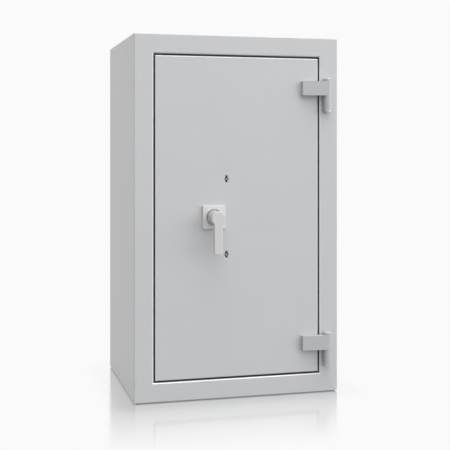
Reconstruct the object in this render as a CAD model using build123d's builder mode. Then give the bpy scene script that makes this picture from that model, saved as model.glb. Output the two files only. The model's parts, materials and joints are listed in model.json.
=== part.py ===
from build123d import *
from math import asin, atan2, cos, hypot, radians, sin
import os

# Fire resistant safe: a double walled cabinet, one door on two lift off hinges, a lever
# that turns a scroll cam, bolts on three sides of the door, and two double bit key locks.
# Millimetres, Z up, the front faces minus Y. The origin is on the floor, under the middle
# of the cabinet. A depth is counted from the front face of the cabinet towards its back,
# so what stands out of the front has a negative depth.

# Cabinet
case_width = 700.0
case_depth = 550.0
case_height = 1200.0
case_sheet = 3.0
case_edge_radius = 3.0
case_front_chamfer = 2.5
base_height = 3.0
base_inset = 8.0
wall_thickness = 80.0
liner_sheet = 1.5

# Floor anchors
anchor_spacing_x = 400.0
anchor_spacing_y = 220.0
anchor_centre_y = 15.0
anchor_bore_radius = 7.0
anchor_sleeve_wall = 2.0

# Door opening
stile_width = 64.0
rail_height = 64.0
opening_edge_chamfer = 3.0
opening_return = 28.0
jamb_sheet = 3.0
jamb_step = 24.0
seal_width = 12.0
seal_thickness = 4.0
seal_clearance = 1.0
jamb_behind_door = 10.0

# Door
door_gap = 6.5
door_sheet = 3.0
door_edge_chamfer = 2.5
door_flange = 29.0
tongue_lock_clearance = 14.0
tongue_clearance = 6.0
pan_sheet = 2.0
door_fill = 59.0
boltwork_plate_thickness = 3.0
boltwork_space = 35.0
cover_sheet = 2.0
cover_inset = 25.0
post_radius = 6.0
post_from_bar = 23.0
post_middle_from_edge = 166.0
post_inner_offset = 240.0
cover_screw_shank = 3.0
cover_screw_depth = 12.0
cover_screw_radius = 4.5
cover_screw_head = 2.5

# Hinges
hinge_spacing = 858.0
hinge_axis_from_side = 40.0
hinge_axis_out = 14.5
barrel_radius = 14.0
leaf_height = 48.0
leaf_length = 90.0
leaf_end_thickness = 18.0
leaf_foot = 45.0
leaf_edge_chamfer = 1.0
frame_clearance = 2.0
knuckle_height = 48.2
knuckle_chamfer = 1.0
knuckle_foot_drop = 5.0
knuckle_foot_width = 18.0
knuckle_foot_height = 38.0
washer_thickness = 1.5
washer_inset = 1.5
washer_clearance = 0.3
cap_height = 10.0
cap_chamfer = 2.5
pin_radius = 6.0
pin_running_clearance = 0.06
pin_end_clearance = 4.0
pin_head_radius = 13.0
pin_head_height = 5.0
pin_head_chamfer = 2.0

# Lever handle
handle_from_lock_edge = 194.5
rosette_size = 76.0
rosette_thickness = 10.0
rosette_edge_radius = 1.5
rosette_corner_radius = 2.0
recess_radius = 26.5
recess_depth = 7.0
recess_chamfer = 1.2
handle_reach = 70.0
lever_thickness = 14.0
lever_width = 28.5
lever_length = 117.0
lever_corner_radius = 5.0
lever_root_radius = 12.0
lever_edge_radius = 2.5
head_radius = 23.0
neck_radius = 22.5
neck_clearance = 0.5
spindle_radius = 7.0
spindle_in_lever = 45.0
spindle_clearance = 0.06
set_screw_radius = 3.0
set_screw_sink = 0.5
spindle_tail = 2.5
bush_wall = 4.0
ring_thickness = 1.5
ring_width = 4.0

# Boltwork
bolt_radius = 10.0
bolt_standoff = 1.0
bolt_flat = 8.0
bolt_length = 70.0
bolt_throw = 28.0
bolt_inset = 1.0
bolt_chamfer = 2.0
bolt_clearance = 0.5
side_bolt_spacing = 330.0
pocket_clearance = 2.0
bar_width = 24.0
bar_thickness = 6.0
bar_overhang = 30.0
bar_on_bolt = 20.0
bar_screw_radius = 4.0
bar_screw_head = 2.5
bar_screw_shank = 2.5
bar_screw_depth = 8.0
arm_width = 20.0
cam_pin_radius = 5.0
cam_pin_clearance = 0.4
cam_pin_end_gap = 1.0
cam_inner_radius = 24.0
cam_rim = 7.0
cam_thickness = 6.0
cam_standoff = 3.0
cam_hub_radius = 12.0
cam_hub_height = 4.0
scroll_steps = 12
lever_turn = 90.0
guide_thickness = 12.0
guide_width = 32.0
guide_depth = 30.0
rod_from_handle = 75.0
arm_on_rod = 33.0
arm_screw_inset = 8.0
rod_guide_offset = 330.0
rod_guide_wall = 8.0
rod_clearance = 0.3
dog_radius = 9.0
dog_reach = 22.0
dog_root = 14.0
dog_swing_room = 12.0
dog_side_room = 4.0

# Key locks
key_from_handle_x = 44.0
key_from_handle_z = 125.0
keyhole_radius = 6.0
keyhole_slot_width = 6.0
keyhole_height = 22.0
keyhole_chamfer = 2.5
key_guide_radius = 16.0
lock_left = 28.0
lock_right = 32.0
lock_half_height = 45.0
lock_case_depth = 30.0
lock_wall = 4.0
lock_cover_sheet = 2.0
lock_screw_radius = 3.5
lock_screw_head = 1.5
lock_screw_shank = 1.5
lock_screw_depth = 10.0
lock_boss_radius = 4.0
lock_boss_inset = 6.0
key_barrel_radius = 13.0
key_barrel_clearance = 0.06
key_barrel_end_gap = 0.3
key_barrel_end_wall = 4.0
key_pin_radius = 2.0
key_pin_clearance = 0.5
key_pin_setback = 0.5
lock_bolt_offset = 25.0
lock_bolt_height = 16.0
lock_bolt_thickness = 14.0
lock_bolt_depth_in_case = 15.0
lock_bolt_length = 48.0
lock_bolt_proud = 1.0
lock_rib_from_right = 13.0
talon_width = 10.0
talon_depth = 5.0
lock_bolt_clearance = 0.25
lock_bolt_throw = 14.0
notch_clearance = 1.0
tumbler_count = 6
tumbler_thickness = 1.4
tumbler_pitch = 1.55
tumbler_clearance = 1.5
tumbler_margin = 2.0
tumbler_pivot_radius = 3.0
tumbler_pivot_offset = 26.0
tumbler_bottom_offset = 33.0

# Shelves
shelf_count = 3
shelf_sheet = 1.5
shelf_lip = 30.0
shelf_side_gap = 2.0
shelf_front_gap = 14.0
rail_width = 25.0
rail_thickness = 6.0
rail_end_gap = 30.0
rail_from_shelf_end = 60.0
rail_slot_pitch = 50.0
rail_slot_height = 12.0
rail_slot_width = 8.0
clip_length = 22.0
clip_height = 6.0
clip_hook = 3.0

# Edges of the nested rectangles, each as left, right, bottom, top
case_edges = (-case_width / 2, case_width / 2, base_height, case_height)
opening_edges = (
    -case_width / 2 + stile_width,
    case_width / 2 - stile_width,
    rail_height,
    case_height - rail_height,
)
liner_edges = (
    -case_width / 2 + wall_thickness,
    case_width / 2 - wall_thickness,
    wall_thickness,
    case_height - wall_thickness,
)


def grown(edges, amount):
    """The rectangle with every side moved out by an amount."""
    left, right, bottom, top = edges
    return (left - amount, right + amount, bottom - amount, top + amount)


door_edges = grown(opening_edges, -door_gap)
reveal_edges = grown(opening_edges, -jamb_step)
tongue_edges = (
    reveal_edges[0] + tongue_lock_clearance,
    reveal_edges[1] - tongue_clearance,
    reveal_edges[2] + tongue_clearance,
    reveal_edges[3] - tongue_clearance,
)
tray_edges = grown(door_edges, -door_sheet)
pan_edges = grown(tongue_edges, -pan_sheet)

# Depths behind the front face, in order
pan_depth = door_flange - pan_sheet
step_depth = door_flange + seal_clearance + seal_thickness
fill_back = door_sheet + door_fill
plate_back = fill_back + boltwork_plate_thickness
cover_front = plate_back + boltwork_space
door_back = cover_front + cover_sheet
jamb_depth = door_back + jamb_behind_door
liner_back = case_depth - wall_thickness
bolt_depth = plate_back + bolt_standoff + bolt_radius
bar_depth = bolt_depth + bolt_flat
cam_depth = plate_back + cam_standoff
front_y = -case_depth / 2

# Places on the door
handle_x = door_edges[0] + handle_from_lock_edge
handle_z = (door_edges[2] + door_edges[3]) / 2
key_x = handle_x + key_from_handle_x
hinge_x = case_width / 2 - hinge_axis_from_side
hinge_y = front_y - hinge_axis_out
cam_outer_radius = cam_inner_radius + bolt_throw
bolt_tip_x = tongue_edges[0] + bolt_inset
bolt_end_x = bolt_tip_x + bolt_length
bar_left = bolt_end_x - bar_on_bolt
side_bolt_heights = [handle_z + side_bolt_spacing * step for step in (-1, 0, 1)]
side_bolt_places = [(front_y + bolt_depth, height) for height in side_bolt_heights]
anchor_places = [
    (x_side * anchor_spacing_x / 2, anchor_centre_y + y_side * anchor_spacing_y / 2)
    for x_side in (-1, 1)
    for y_side in (-1, 1)
]


def at_depth(depth):
    """Upright plane that faces forward, at a depth behind the front face."""
    return Plane.XZ.offset(-front_y - depth)


def rectangle(left, right, bottom, top, mode=Mode.ADD):
    """Rectangle between four edges of the sketch plane."""
    with Locations(((left + right) / 2, (bottom + top) / 2)):
        Rectangle(right - left, top - bottom, mode=mode)


def slab(edges, near, far, mode=Mode.ADD):
    """Block that fills a rectangle from one depth to another."""
    with BuildSketch(at_depth(near)) as profile:
        rectangle(*edges)
    extrude(profile.sketch, amount=near - far, mode=mode)


def round_bar(x, z, radius, near, far, mode=Mode.ADD):
    """Cylinder that runs from the front towards the back."""
    with BuildSketch(at_depth(near)) as profile:
        with Locations((x, z)):
            Circle(radius)
    extrude(profile.sketch, amount=near - far, mode=mode)


def anchor_holes(radius):
    """Upright holes for the floor anchors, through all of the cabinet's floor."""
    with BuildSketch(Plane.XY) as profile:
        with Locations(*anchor_places):
            Circle(radius)
    extrude(profile.sketch, amount=wall_thickness, mode=Mode.SUBTRACT)


def keyhole(x, z, near, far):
    """Double bit keyhole: a round bore for the stem with a slot above and below it."""
    with BuildSketch(at_depth(near)) as profile:
        with Locations((x, z)):
            Circle(keyhole_radius)
            Rectangle(keyhole_slot_width, keyhole_height)
    extrude(profile.sketch, amount=near - far, mode=Mode.SUBTRACT)


# Outer casing: sides, top, bottom and front flange, folded in round the opening
with BuildPart() as outer_casing:
    slab(case_edges, 0, case_depth)
    front_edges = outer_casing.faces().sort_by(Axis.Y)[0].edges().sort_by(Axis.Z)
    chamfer(front_edges[1:], case_front_chamfer)
    fillet(outer_casing.edges().filter_by(Axis.Y), case_edge_radius)
    slab(grown(case_edges, -case_sheet), case_sheet, case_depth, Mode.SUBTRACT)
    slab(grown(opening_edges, case_sheet), case_sheet, opening_return)
    slab(opening_edges, 0, opening_return, Mode.SUBTRACT)
    front_face = outer_casing.faces().sort_by(Axis.Y)[0]
    chamfer(front_face.inner_wires()[0].edges(), opening_edge_chamfer)
    anchor_holes(anchor_bore_radius + anchor_sleeve_wall)
outer_casing.part.label = "outer_casing"
export_step(outer_casing.part, "parts/outer_casing.step")

# Base: a plate set back under the casing, open over the anchors
with BuildPart() as base_plate:
    with BuildSketch(Plane.XY):
        Rectangle(case_width - 2 * base_inset, case_depth - 2 * base_inset)
    extrude(amount=base_height)
    anchor_holes(anchor_bore_radius + anchor_sleeve_wall)
base_plate.part.label = "base_plate"
export_step(base_plate.part, "parts/base_plate.step")

# Back panel: set in flush between the casing's rear edges
with BuildPart() as back_panel:
    slab(grown(case_edges, -case_sheet), case_depth - case_sheet, case_depth)
back_panel.part.label = "back_panel"
export_step(back_panel.part, "parts/back_panel.step")

# Inner liner: a box open at the front, behind the jamb
with BuildPart() as inner_liner:
    slab(grown(liner_edges, liner_sheet), jamb_depth, liner_back + liner_sheet)
    slab(liner_edges, jamb_depth, liner_back, Mode.SUBTRACT)
    anchor_holes(anchor_bore_radius + anchor_sleeve_wall)
inner_liner.part.label = "inner_liner"
export_step(inner_liner.part, "parts/inner_liner.step")

# Cast insulation: four walls with a thinner front part beside the jamb, and a back
inside_case = grown(case_edges, -case_sheet)
jamb_back_edges = grown(opening_edges, case_sheet)
liner_outside = grown(liner_edges, liner_sheet)
insulation_walls = {
    "insulation_left": (
        (inside_case[0], jamb_back_edges[0], inside_case[2], inside_case[3]),
        (inside_case[0], liner_outside[0], inside_case[2], inside_case[3]),
    ),
    "insulation_right": (
        (jamb_back_edges[1], inside_case[1], inside_case[2], inside_case[3]),
        (liner_outside[1], inside_case[1], inside_case[2], inside_case[3]),
    ),
    "insulation_top": (
        (jamb_back_edges[0], jamb_back_edges[1], jamb_back_edges[3], inside_case[3]),
        (liner_outside[0], liner_outside[1], liner_outside[3], inside_case[3]),
    ),
}
for wall_name, (beside_jamb, beside_liner) in insulation_walls.items():
    with BuildPart() as insulation_wall:
        slab(beside_jamb, case_sheet, jamb_depth)
        slab(beside_liner, jamb_depth, liner_back + liner_sheet)
    insulation_wall.part.label = wall_name
    export_step(insulation_wall.part, f"parts/{wall_name}.step")

with BuildPart() as insulation_bottom:
    slab(
        (jamb_back_edges[0], jamb_back_edges[1], inside_case[2], jamb_back_edges[2]),
        case_sheet,
        jamb_depth,
    )
    slab(
        (liner_outside[0], liner_outside[1], inside_case[2], liner_outside[2]),
        jamb_depth,
        liner_back + liner_sheet,
    )
    anchor_holes(anchor_bore_radius + anchor_sleeve_wall)
insulation_bottom.part.label = "insulation_bottom"
export_step(insulation_bottom.part, "parts/insulation_bottom.step")

with BuildPart() as insulation_back:
    slab(inside_case, liner_back + liner_sheet, case_depth - case_sheet)
insulation_back.part.label = "insulation_back"
export_step(insulation_back.part, "parts/insulation_back.step")

# Anchor sleeves: four open tubes through the floor
with BuildPart() as anchor_sleeves:
    with BuildSketch(Plane.XY):
        with Locations(*anchor_places):
            Circle(anchor_bore_radius + anchor_sleeve_wall)
            Circle(anchor_bore_radius, mode=Mode.SUBTRACT)
    extrude(amount=wall_thickness)
anchor_sleeves.part.label = "anchor_sleeves"
export_step(anchor_sleeves.part, "parts/anchor_sleeves.step")

# Door jamb: stepped profile round the opening, with pockets for the bolts and dogs
dog_heights = side_bolt_heights
dog_slot = (
    front_y + bolt_depth - dog_radius - dog_swing_room,
    front_y + bolt_depth + dog_radius + pocket_clearance,
)
with BuildPart() as door_jamb:
    slab(grown(opening_edges, jamb_sheet), opening_return, step_depth + jamb_sheet)
    slab(grown(reveal_edges, jamb_sheet), step_depth + jamb_sheet, jamb_depth)
    slab(liner_outside, jamb_depth - jamb_sheet, jamb_depth)
    slab(opening_edges, opening_return, step_depth, Mode.SUBTRACT)
    slab(reveal_edges, step_depth, jamb_depth, Mode.SUBTRACT)
    with BuildSketch(Plane.YZ.offset(reveal_edges[0])):
        with Locations(*side_bolt_places):
            Circle(bolt_radius + pocket_clearance)
    extrude(amount=-jamb_sheet, mode=Mode.SUBTRACT)
    with BuildSketch(Plane.YZ.offset(reveal_edges[1])):
        for height in dog_heights:
            reach = dog_radius + dog_side_room
            rectangle(*dog_slot, height - reach, height + reach)
    extrude(amount=jamb_sheet, mode=Mode.SUBTRACT)
    for level, amount in ((reveal_edges[3], jamb_sheet), (reveal_edges[2], -jamb_sheet)):
        with BuildSketch(Plane.XY.offset(level)):
            with Locations((handle_x, front_y + bolt_depth)):
                Circle(bolt_radius + pocket_clearance)
        extrude(amount=amount, mode=Mode.SUBTRACT)
door_jamb.part.label = "door_jamb"
export_step(door_jamb.part, "parts/door_jamb.step")

# Fire seals: four strips that swell in heat, on the step that the door closes against
seal_margin = (jamb_step - seal_width) / 2
seal_outside = grown(opening_edges, -seal_margin)
seal_inside = grown(seal_outside, -seal_width)
seal_strips = (
    (seal_outside[0], seal_inside[0], seal_outside[2], seal_outside[3]),
    (seal_inside[1], seal_outside[1], seal_outside[2], seal_outside[3]),
    (seal_inside[0], seal_inside[1], seal_inside[3], seal_outside[3]),
    (seal_inside[0], seal_inside[1], seal_outside[2], seal_inside[2]),
)
with BuildPart() as fire_seals:
    for strip in seal_strips:
        slab(strip, step_depth - seal_thickness, step_depth)
fire_seals.part.label = "fire_seals"
export_step(fire_seals.part, "parts/fire_seals.step")

# Shelf rails: four slotted strips on the side walls of the liner
shelf_front = jamb_depth + shelf_front_gap
shelf_back = liner_back - shelf_side_gap
rail_depths = (shelf_front + rail_from_shelf_end, shelf_back - rail_from_shelf_end)
rail_bottom = liner_edges[2] + rail_end_gap
rail_top = liner_edges[3] - rail_end_gap
slot_count = int((rail_top - rail_bottom) / rail_slot_pitch)
slot_bottom = (rail_bottom + rail_top - (slot_count - 1) * rail_slot_pitch) / 2
slot_heights = [slot_bottom + rail_slot_pitch * step for step in range(slot_count)]
with BuildPart() as shelf_rails:
    for wall, inward in ((liner_edges[0], 1), (liner_edges[1], -1)):
        with BuildSketch(Plane.YZ.offset(wall)):
            for depth in rail_depths:
                middle = front_y + depth
                rectangle(
                    middle - rail_width / 2, middle + rail_width / 2, rail_bottom, rail_top
                )
                with Locations(*[(middle, height) for height in slot_heights]):
                    Rectangle(rail_slot_width, rail_slot_height, mode=Mode.SUBTRACT)
        extrude(amount=inward * rail_thickness)
shelf_rails.part.label = "shelf_rails"
export_step(shelf_rails.part, "parts/shelf_rails.step")

# Shelves and the clips that carry them, hooked into the rail slots
shelf_left = liner_edges[0] + rail_thickness + shelf_side_gap
shelf_right = liner_edges[1] - rail_thickness - shelf_side_gap
shelf_slots = [
    slot_heights[round((step + 1) * (slot_count - 1) / (shelf_count + 1))]
    for step in range(shelf_count)
]
shelf_bases = [height + rail_slot_height / 2 for height in shelf_slots]
for number, base in enumerate(shelf_bases, start=1):
    top = base + shelf_sheet
    with BuildPart() as shelf:
        slab((shelf_left, shelf_right, base, top), shelf_front, shelf_back)
        lip = (shelf_left, shelf_right, top - shelf_lip, top)
        slab(lip, shelf_front, shelf_front + shelf_sheet)
        slab(lip, shelf_back - shelf_sheet, shelf_back)
    shelf.part.label = f"shelf_{number}"
    export_step(shelf.part, f"parts/shelf_{number}.step")

with BuildPart() as shelf_clips:
    for wall, inward in ((liner_edges[0], 1), (liner_edges[1], -1)):
        with BuildSketch(Plane.YZ.offset(wall + inward * (rail_thickness - clip_hook))):
            for depth in rail_depths:
                middle = front_y + depth
                for base in shelf_bases:
                    rectangle(
                        middle - rail_slot_width / 2,
                        middle + rail_slot_width / 2,
                        base - clip_height,
                        base,
                    )
        extrude(amount=inward * (clip_hook + clip_length))
shelf_clips.part.label = "shelf_clips"
export_step(shelf_clips.part, "parts/shelf_clips.step")

# Hinges: a knuckle welded to the front, a headed pin in it, a washer and a leaf on the door
hinge_heights = [handle_z - hinge_spacing / 2, handle_z + hinge_spacing / 2]
leaf_left = hinge_x - leaf_length
leaf_end_y = front_y - leaf_end_thickness
knuckle_drop = leaf_height / 2 + washer_clearance + washer_thickness
pin_length = knuckle_height + washer_thickness + washer_clearance + leaf_height - pin_end_clearance


def leaf_tangent():
    """Point where the front of the leaf runs into the round of its barrel."""
    across = hinge_x - leaf_left
    out = hinge_y - leaf_end_y
    reach = hypot(across, out)
    slope = atan2(out, across) - asin(barrel_radius / reach)
    run = (reach**2 - barrel_radius**2) ** 0.5
    return (leaf_left + run * cos(slope), leaf_end_y + run * sin(slope))


for hinge_name, height in zip(("lower", "upper"), hinge_heights):
    with BuildPart() as hinge_knuckle:
        knuckle_top = height - knuckle_drop
        with BuildSketch(Plane.XY.offset(knuckle_top)):
            with Locations((hinge_x, hinge_y)):
                Circle(barrel_radius)
        extrude(amount=-knuckle_height)
        chamfer(hinge_knuckle.edges().sort_by(Axis.Z)[0], knuckle_chamfer)
        with BuildSketch(Plane.XY.offset(knuckle_top - knuckle_foot_drop)):
            foot = (hinge_x - knuckle_foot_width / 2, hinge_x + knuckle_foot_width / 2)
            rectangle(*foot, hinge_y, front_y)
        extrude(amount=-knuckle_foot_height)
        with BuildSketch(Plane.XY.offset(knuckle_top)):
            with Locations((hinge_x, hinge_y)):
                Circle(pin_radius)
        extrude(amount=-knuckle_height, mode=Mode.SUBTRACT)
    hinge_knuckle.part.label = f"hinge_knuckle_{hinge_name}"
    export_step(hinge_knuckle.part, f"parts/hinge_knuckle_{hinge_name}.step")

    with BuildPart() as hinge_leaf:
        with BuildSketch(Plane.XY.offset(height - leaf_height / 2)):
            with BuildLine():
                Polyline(
                    (leaf_left, front_y),
                    (leaf_left, leaf_end_y),
                    leaf_tangent(),
                    (hinge_x, hinge_y),
                    (hinge_x, front_y - frame_clearance),
                    (leaf_left + leaf_foot, front_y - frame_clearance),
                    (leaf_left + leaf_foot, front_y),
                    close=True,
                )
            make_face()
        extrude(amount=leaf_height)
        leaf_end = hinge_leaf.faces().sort_by(Axis.X)[0]
        chamfer(leaf_end.edges().sort_by(Axis.Y)[:-1], leaf_edge_chamfer)
        with BuildSketch(Plane.XY.offset(height - leaf_height / 2)):
            with Locations((hinge_x, hinge_y)):
                Circle(barrel_radius)
        extrude(amount=leaf_height)
        with BuildSketch(Plane.XY.offset(height - leaf_height / 2)):
            with Locations((hinge_x, hinge_y)):
                Circle(pin_radius + pin_running_clearance)
        extrude(amount=leaf_height, mode=Mode.SUBTRACT)
    hinge_leaf.part.label = f"hinge_leaf_{hinge_name}"
    export_step(hinge_leaf.part, f"parts/hinge_leaf_{hinge_name}.step")

with BuildPart() as hinge_pins:
    for height in hinge_heights:
        with BuildSketch(Plane.XY.offset(height - knuckle_drop - knuckle_height)):
            with Locations((hinge_x, hinge_y)):
                Circle(pin_radius)
        extrude(amount=pin_length)
        with BuildSketch(Plane.XY.offset(height - knuckle_drop - knuckle_height)):
            with Locations((hinge_x, hinge_y)):
                Circle(pin_head_radius)
        extrude(amount=-pin_head_height)
    pin_ends = hinge_pins.faces().filter_by(Plane.XY).sort_by(Axis.Z)
    chamfer([pin_ends[0].edges(), pin_ends[3].edges()], pin_head_chamfer)
hinge_pins.part.label = "hinge_pins"
export_step(hinge_pins.part, "parts/hinge_pins.step")

with BuildPart() as hinge_washers:
    for height in hinge_heights:
        with BuildSketch(Plane.XY.offset(height - knuckle_drop)):
            with Locations((hinge_x, hinge_y)):
                Circle(barrel_radius - washer_inset)
                Circle(pin_radius, mode=Mode.SUBTRACT)
        extrude(amount=washer_thickness)
hinge_washers.part.label = "hinge_washers"
export_step(hinge_washers.part, "parts/hinge_washers.step")

with BuildPart() as hinge_caps:
    for height in hinge_heights:
        with BuildSketch(Plane.XY.offset(height + leaf_height / 2)):
            with Locations((hinge_x, hinge_y)):
                Circle(barrel_radius)
        extrude(amount=cap_height)
    cap_tops = hinge_caps.faces().filter_by(Plane.XY).sort_by(Axis.Z)
    chamfer([cap_tops[1].edges(), cap_tops[3].edges()], cap_chamfer)
hinge_caps.part.label = "hinge_caps"
export_step(hinge_caps.part, "parts/hinge_caps.step")

# Door front: a tray of sheet with bevelled edges, pierced for the spindle and the keys
bush_radius = spindle_radius + spindle_clearance + bush_wall
key_heights = [handle_z - key_from_handle_z, handle_z + key_from_handle_z]
with BuildPart() as door_front:
    slab(door_edges, 0, door_flange)
    chamfer(door_front.faces().sort_by(Axis.Y)[0].edges(), door_edge_chamfer)
    slab(tray_edges, door_sheet, door_flange, Mode.SUBTRACT)
    round_bar(handle_x, handle_z, bush_radius, 0, door_sheet, Mode.SUBTRACT)
    for height in key_heights:
        keyhole(key_x, height, 0, door_sheet)
    door_face = door_front.faces().sort_by(Axis.Y)[0]
    keyhole_rims = door_face.inner_wires().sort_by(Axis.X)[1:]
    chamfer([rim.edges() for rim in keyhole_rims], keyhole_chamfer)
door_front.part.label = "door_front"
export_step(door_front.part, "parts/door_front.step")

# Door pan: closes the back of the tray and carries the walls of the boltwork space
with BuildPart() as door_pan:
    slab(tray_edges, pan_depth, door_flange)
    slab(tongue_edges, door_flange, cover_front)
    slab(pan_edges, pan_depth, cover_front, Mode.SUBTRACT)
    with BuildSketch(Plane.YZ.offset(tongue_edges[0])):
        with Locations(*side_bolt_places):
            Circle(bolt_radius + bolt_clearance)
    extrude(amount=pan_sheet, mode=Mode.SUBTRACT)
    with BuildSketch(Plane.YZ.offset(tongue_edges[1])):
        with Locations(*side_bolt_places):
            Circle(dog_radius)
    extrude(amount=-pan_sheet, mode=Mode.SUBTRACT)
    for level, amount in ((tongue_edges[3], -pan_sheet), (tongue_edges[2], pan_sheet)):
        with BuildSketch(Plane.XY.offset(level)):
            with Locations((handle_x, front_y + bolt_depth)):
                Circle(bolt_radius + bolt_clearance)
        extrude(amount=amount, mode=Mode.SUBTRACT)
door_pan.part.label = "door_pan"
export_step(door_pan.part, "parts/door_pan.step")

# Door filling: cast round the spindle bush and the key guides
with BuildPart() as door_filling:
    slab(tray_edges, door_sheet, pan_depth)
    slab(pan_edges, pan_depth, fill_back)
    round_bar(handle_x, handle_z, bush_radius, door_sheet, fill_back, Mode.SUBTRACT)
    for height in key_heights:
        round_bar(key_x, height, key_guide_radius, door_sheet, fill_back, Mode.SUBTRACT)
door_filling.part.label = "door_filling"
export_step(door_filling.part, "parts/door_filling.step")

with BuildPart() as boltwork_plate:
    slab(pan_edges, fill_back, plate_back)
    round_bar(handle_x, handle_z, bush_radius, fill_back, plate_back, Mode.SUBTRACT)
    for height in key_heights:
        round_bar(key_x, height, key_guide_radius, fill_back, plate_back, Mode.SUBTRACT)
boltwork_plate.part.label = "boltwork_plate"
export_step(boltwork_plate.part, "parts/boltwork_plate.step")

# Posts, back cover and its screws
post_inner_x = bar_left + bar_width + post_from_bar
post_middle_x = tongue_edges[1] - post_middle_from_edge
post_places = [
    (tongue_edges[0] + cover_inset, tongue_edges[2] + cover_inset),
    (tongue_edges[0] + cover_inset, tongue_edges[3] - cover_inset),
    (tongue_edges[1] - cover_inset, tongue_edges[2] + cover_inset),
    (tongue_edges[1] - cover_inset, tongue_edges[3] - cover_inset),
    (tongue_edges[1] - cover_inset, handle_z - post_inner_offset),
    (tongue_edges[1] - cover_inset, handle_z + post_inner_offset),
    (post_middle_x, tongue_edges[2] + cover_inset),
    (post_middle_x, tongue_edges[3] - cover_inset),
    (post_inner_x, handle_z - post_inner_offset),
    (post_inner_x, handle_z + post_inner_offset),
]
with BuildPart() as cover_posts:
    for x, z in post_places:
        round_bar(x, z, post_radius, plate_back, cover_front)
        screw_end = cover_front - cover_screw_depth
        round_bar(x, z, cover_screw_shank, screw_end, cover_front, Mode.SUBTRACT)
cover_posts.part.label = "cover_posts"
export_step(cover_posts.part, "parts/cover_posts.step")

with BuildPart() as door_cover:
    slab(tongue_edges, cover_front, door_back)
    for x, z in post_places:
        round_bar(x, z, cover_screw_shank, cover_front, door_back, Mode.SUBTRACT)
door_cover.part.label = "door_cover"
export_step(door_cover.part, "parts/door_cover.step")

with BuildPart() as cover_screws:
    for x, z in post_places:
        round_bar(x, z, cover_screw_radius, door_back, door_back + cover_screw_head)
        round_bar(x, z, cover_screw_shank, cover_front - cover_screw_depth, door_back)
cover_screws.part.label = "cover_screws"
export_step(cover_screws.part, "parts/cover_screws.step")

# Dogs: fixed studs on the hinge side that hook behind the jamb
with BuildPart() as hinge_dogs:
    with BuildSketch(Plane.YZ.offset(tongue_edges[1] - pan_sheet - dog_root)):
        with Locations(*side_bolt_places):
            Circle(dog_radius)
    extrude(amount=dog_root + pan_sheet + dog_reach)
hinge_dogs.part.label = "hinge_dogs"
export_step(hinge_dogs.part, "parts/hinge_dogs.step")

# Rosette: square plate with a round recess for the neck of the lever
rosette_front = -rosette_thickness
recess_floor = rosette_front + recess_depth
with BuildPart() as handle_rosette:
    half = rosette_size / 2
    slab(
        (handle_x - half, handle_x + half, handle_z - half, handle_z + half), rosette_front, 0
    )
    fillet(handle_rosette.edges().filter_by(Axis.Y), rosette_corner_radius)
    fillet(handle_rosette.faces().sort_by(Axis.Y)[0].edges(), rosette_edge_radius)
    round_bar(handle_x, handle_z, recess_radius, rosette_front, recess_floor, Mode.SUBTRACT)
    rosette_face = handle_rosette.faces().sort_by(Axis.Y)[0]
    chamfer(rosette_face.inner_wires()[0].edges(), recess_chamfer)
    spindle_hole = spindle_radius + neck_clearance
    round_bar(handle_x, handle_z, spindle_hole, recess_floor, 0, Mode.SUBTRACT)
handle_rosette.part.label = "handle_rosette"
export_step(handle_rosette.part, "parts/handle_rosette.step")

with BuildPart() as spindle_bush:
    round_bar(handle_x, handle_z, bush_radius, 0, plate_back)
    running_radius = spindle_radius + spindle_clearance
    round_bar(handle_x, handle_z, running_radius, 0, plate_back, Mode.SUBTRACT)
spindle_bush.part.label = "spindle_bush"
export_step(spindle_bush.part, "parts/spindle_bush.step")

# Lever: hangs straight down from a round head; head and neck are one casting with it
lever_front = -handle_reach
lever_back = lever_front + lever_thickness
neck_back = recess_floor - neck_clearance
spindle_front = neck_back - spindle_in_lever
set_screw_depth = (lever_back + neck_back) / 2
with BuildPart() as lever:
    with BuildSketch(at_depth(lever_front)) as lever_outline:
        with Locations((handle_x, handle_z)):
            Circle(head_radius)
        lever_end = handle_z - lever_length
        rectangle(handle_x - lever_width / 2, handle_x + lever_width / 2, lever_end, handle_z)
        lever_corners = lever_outline.vertices().sort_by(Axis.Y)
        fillet(lever_corners[:2], lever_corner_radius)
        fillet(lever_outline.vertices().sort_by(Axis.Y)[4:6], lever_root_radius)
    extrude(amount=-lever_thickness)
    fillet(lever.faces().sort_by(Axis.Y)[0].edges(), lever_edge_radius)
    fillet(lever.faces().sort_by(Axis.Y)[-1].edges(), lever_edge_radius)
    round_bar(handle_x, handle_z, neck_radius, lever_back, neck_back)
    round_bar(handle_x, handle_z, spindle_radius, spindle_front, neck_back, Mode.SUBTRACT)
    with BuildSketch(Plane.YZ.offset(handle_x)):
        with Locations((front_y + set_screw_depth, handle_z)):
            Circle(set_screw_radius)
    extrude(amount=neck_radius, mode=Mode.SUBTRACT)
lever.part.label = "lever"
export_step(lever.part, "parts/lever.step")

with BuildPart() as set_screw:
    with BuildSketch(Plane.YZ.offset(handle_x + spindle_radius)):
        with Locations((front_y + set_screw_depth, handle_z)):
            Circle(set_screw_radius)
    extrude(amount=neck_radius - spindle_radius - set_screw_sink)
set_screw.part.label = "set_screw"
export_step(set_screw.part, "parts/set_screw.step")

# Cam: each slot takes its pin outwards in step with the turn of the lever
cam_back = cam_depth + cam_thickness
hub_back = cam_back + cam_hub_height
spindle_back = hub_back + ring_thickness + spindle_tail
pin_directions = {"side": 180.0, "top": 90.0, "bottom": 270.0}
slot_half_width = cam_pin_radius + cam_pin_clearance
cam_radius = cam_outer_radius + slot_half_width + cam_rim


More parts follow.
